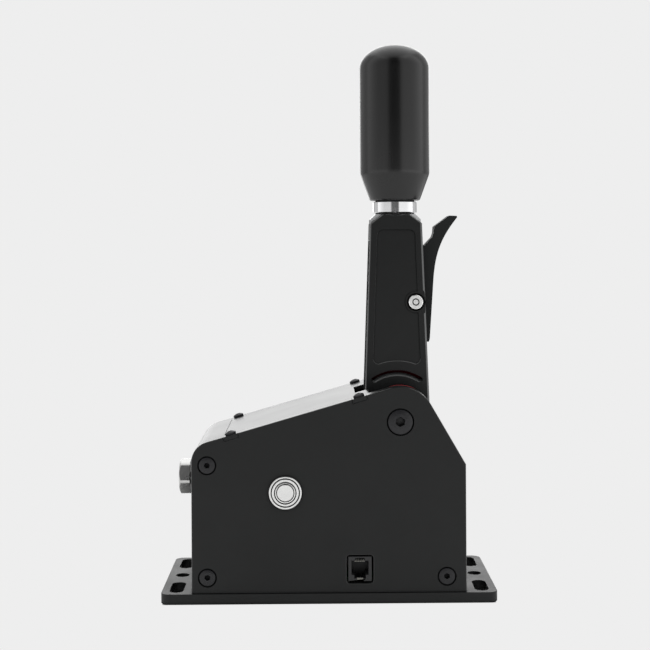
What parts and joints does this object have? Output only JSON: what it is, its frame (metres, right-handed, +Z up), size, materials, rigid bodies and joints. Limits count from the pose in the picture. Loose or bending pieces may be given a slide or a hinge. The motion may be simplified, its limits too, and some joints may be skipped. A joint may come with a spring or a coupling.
{
  "type": "sim racing gear shifter",
  "caption": "Sprung sequential shift lever with a cylindrical grip and a finger trigger, in a wedge-shaped metal housing on a slotted base plate.",
  "frame": {"origin": "centre of the base plate's underside", "axes": "+Z up, +X from the adjuster bolt towards the trigger, -Y out of the plate with the button and the socket"},
  "size_m": [0.194, 0.0847, 0.3267],
  "materials": {
    "black_plate": "bead blasted, black anodised, satin",
    "black_cover": "black anodised sheet, satin",
    "black_lever": "machined, black anodised, fine satin",
    "black_knob": "turned, black anodised, smooth satin",
    "black_screw": "black oxide",
    "red_anodised": "machined, red anodised",
    "silver_anodised": "turned, clear anodised",
    "raw_aluminium": "milled",
    "bright_steel": "ground",
    "zinc_steel": "zinc plated",
    "stainless": "turned stainless",
    "spring_steel": "drawn wire",
    "bronze": "sintered bronze",
    "plated_contact": "selectively plated",
    "black_plastic": "moulded",
    "red_plastic": "moulded",
    "green_board": "solder mask",
    "black_rubber": "moulded"
  },
  "bodies": {
    "housing": {"base_plate": "black_plate", "base_screws": "black_screw", "front_base_bar": "raw_aluminium", "rear_base_bar": "raw_aluminium", "near_side_plate": "black_plate", "far_side_plate": "black_plate", "near_plate_screws": "black_screw", "far_plate_screws": "black_screw", "top_cover": "black_cover", "cover_screws": "black_screw", "front_cover": "black_cover", "front_cover_screws": "black_screw", "rear_panel": "black_cover", "rear_panel_screws": "black_screw", "front_block": "raw_aluminium", "pivot_shaft": "bright_steel", "pivot_screws": "black_screw", "pivot_spacers": "raw_aluminium", "guide_block": "raw_aluminium", "guide_screws": "black_screw", "guide_bush": "bronze", "bump_pad": "black_rubber", "return_spring": "spring_steel", "button_bezel": "stainless", "button_nut": "stainless", "button_spring": "spring_steel", "jack_body": "black_plastic", "jack_contacts": "plated_contact", "control_board": "green_board", "board_chips": "black_plastic", "board_posts": "raw_aluminium", "sensor_board": "green_board", "sensor_posts": "raw_aluminium", "sensor_chip": "black_plastic"},
    "lever": {"pivot_bearings": "bright_steel", "lever_core": "red_anodised", "lever_spine": "black_lever", "near_cheek": "black_lever", "far_cheek": "black_lever", "cheek_screws": "black_screw", "neck_block": "silver_anodised", "knob_stud": "bright_steel", "lock_ring": "silver_anodised", "ring_washers": "black_rubber", "knob": "black_knob", "tail_roller": "bright_steel", "roller_pin": "bright_steel", "lever_magnet": "bright_steel", "trigger_pin": "silver_anodised", "trigger_washers": "bronze", "trigger_spring": "spring_steel", "trigger_switch": "black_plastic"},
    "trigger": {"trigger": "black_lever"},
    "switch_plunger": {"switch_plunger": "red_plastic"},
    "shuttle": {"shuttle": "bright_steel", "shuttle_collar": "raw_aluminium"},
    "spring_seat": {"spring_seat": "raw_aluminium", "preload_spring": "spring_steel"},
    "adjuster": {"adjuster_bolt": "zinc_steel"},
    "button": {"button_cap": "stainless"}
  },
  "joints": [
    {"name": "lever_swing", "type": "hinge", "parent": "housing", "child": "lever", "pos_m": [0.0414, 0, 0.1036], "axis": [0, 1, 0], "range_deg": [-8, 8], "stiffness_Nm_per_rad": 50, "deforming": ["preload_spring", "return_spring"]},
    {"name": "trigger_pull", "type": "hinge", "parent": "lever", "child": "trigger", "pos_m": [0.0529, 0, 0.1713], "axis": [0, -1, 0], "range_deg": [0, 5], "stiffness_Nm_per_rad": 2, "springref_deg": -3.44, "deforming": ["trigger_spring"]},
    {"name": "switch_press", "type": "slide", "parent": "lever", "child": "switch_plunger", "axis": [-1, 0, 0], "range_m": [0, 0.00098]},
    {"name": "shuttle_slide", "type": "slide", "parent": "housing", "child": "shuttle", "axis": [-1, 0, 0], "range_m": [-0.00526, 0.00526]},
    {"name": "seat_travel", "type": "slide", "parent": "housing", "child": "spring_seat", "axis": [1, 0, 0], "range_m": [-0.0035, 0.0035], "deforming": ["preload_spring"]},
    {"name": "adjuster_turn", "type": "hinge", "parent": "spring_seat", "child": "adjuster", "pos_m": [-0.085, 0, 0.066], "axis": [1, 0, 0], "range_deg": [-720.5, 720.5]},
    {"name": "button_press", "type": "slide", "parent": "housing", "child": "button", "axis": [0, 1, 0], "range_m": [0, 0.0012], "stiffness_N_per_m": 1500, "springref_m": -0.001, "deforming": ["button_spring"]}
  ],
  "couplings": [
    {"joint": "switch_press", "follows": "trigger_pull", "m_per_rad": 0.0112},
    {"joint": "shuttle_slide", "follows": "lever_swing", "m_per_rad": 0.0376},
    {"joint": "adjuster_turn", "follows": "seat_travel", "rad_per_m": 3590.4}
  ]
}
